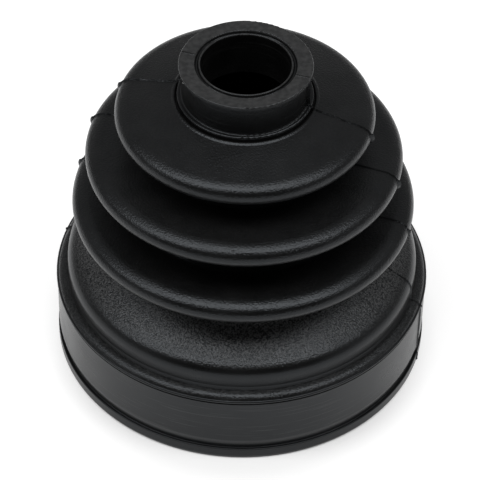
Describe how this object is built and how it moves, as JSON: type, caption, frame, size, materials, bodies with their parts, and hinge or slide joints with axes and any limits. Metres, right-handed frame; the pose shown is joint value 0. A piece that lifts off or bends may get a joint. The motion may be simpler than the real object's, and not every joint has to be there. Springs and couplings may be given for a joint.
{
  "type": "rubber bellows boot",
  "caption": "Round one-piece black rubber bellows boot that narrows in folds from a wide clamp collar to a small shaft collar.",
  "frame": {"origin": "centre of the large end's open face, on the boot's axis", "axes": "+Z along the boot's axis from the large end to the small collar; +X and +Y square to it, with the moulding line in a plane through the axis"},
  "size_m": [0.0918, 0.0918, 0.0859],
  "materials": {
    "rubber": "moulded black rubber, satin, with a fine grain on the bellows"
  },
  "bodies": {
    "root": {"bellows_boot": "rubber"}
  },
  "joints": []
}
